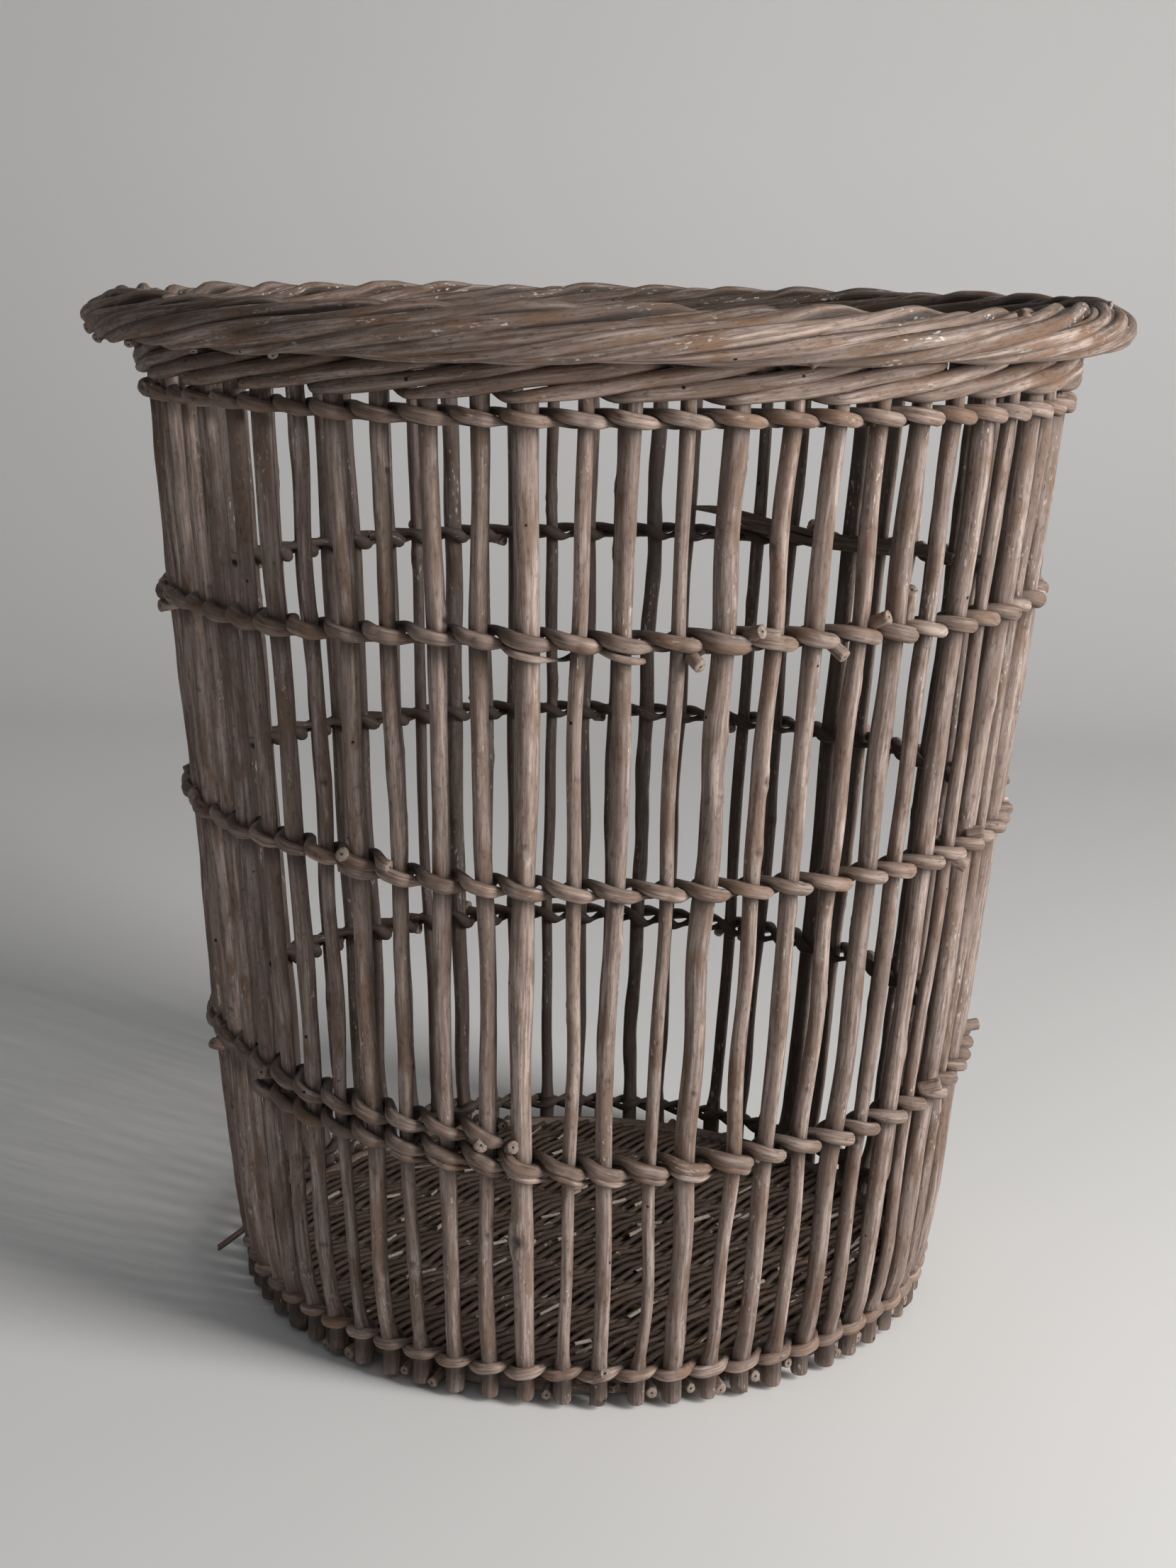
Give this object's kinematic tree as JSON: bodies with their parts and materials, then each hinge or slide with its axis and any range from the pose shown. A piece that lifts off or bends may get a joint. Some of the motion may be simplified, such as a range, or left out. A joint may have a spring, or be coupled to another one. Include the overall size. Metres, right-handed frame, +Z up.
{
  "type": "openwork willow laundry basket",
  "caption": "Round, tapered, open-topped laundry basket of weathered willow: upright rods held by twined rows, with a rope border and a flat woven base.",
  "frame": {"origin": "on the floor, at the centre of the base", "axes": "+Z up along the basket's axis; -Y is the side that the main view looks at; +X to the right of that view"},
  "size_m": [0.44, 0.4399, 0.44],
  "materials": {
    "stakes": "weathered peeled willow, matt to dull satin, grey-brown with dark worm holes and pale flecks",
    "weaving": "weathered peeled willow, dull satin, grey-brown with ochre patches",
    "border": "weathered peeled willow, dull satin, worn pale along the outer rods",
    "base": "old fine willow, matt, dark brown-grey with a few pale rod ends"
  },
  "bodies": {
    "root": {"stake_pair_01": "stakes", "stake_pair_02": "stakes", "stake_pair_03": "stakes", "stake_pair_04": "stakes", "stake_pair_05": "stakes", "stake_pair_06": "stakes", "stake_pair_07": "stakes", "stake_pair_08": "stakes", "stake_pair_09": "stakes", "stake_pair_10": "stakes", "stake_pair_11": "stakes", "stake_pair_12": "stakes", "stake_pair_13": "stakes", "stake_pair_14": "stakes", "stake_pair_15": "stakes", "stake_pair_16": "stakes", "stake_pair_17": "stakes", "stake_pair_18": "stakes", "stake_pair_19": "stakes", "stake_pair_20": "stakes", "stake_pair_21": "stakes", "stake_pair_22": "stakes", "stake_pair_23": "stakes", "stake_pair_24": "stakes", "stake_pair_25": "stakes", "stake_pair_26": "stakes", "stake_pair_27": "stakes", "stake_pair_28": "stakes", "stake_pair_29": "stakes", "stake_pair_30": "stakes", "stake_pair_31": "stakes", "stake_pair_32": "stakes", "upsett_rod_1": "weaving", "upsett_rod_2": "weaving", "lower_fitch_rod_1": "weaving", "lower_fitch_rod_2": "weaving", "middle_fitch_rod_1": "weaving", "middle_fitch_rod_2": "weaving", "upper_fitch_rod_1": "weaving", "upper_fitch_rod_2": "weaving", "top_fitch_rod_1": "weaving", "top_fitch_rod_2": "weaving", "wale_rod_1": "weaving", "wale_rod_2": "weaving", "wale_rod_3": "weaving", "border_strand_1": "border", "border_strand_2": "border", "border_strand_3": "border", "border_strand_4": "border", "border_core": "border", "base_hoop": "base", "base_stick_1": "base", "base_stick_2": "base", "base_stick_3": "base", "base_stick_4": "base", "base_stick_5": "base", "base_stick_6": "base", "base_stick_7": "base", "base_stick_8": "base", "base_weave": "base"}
  },
  "joints": []
}
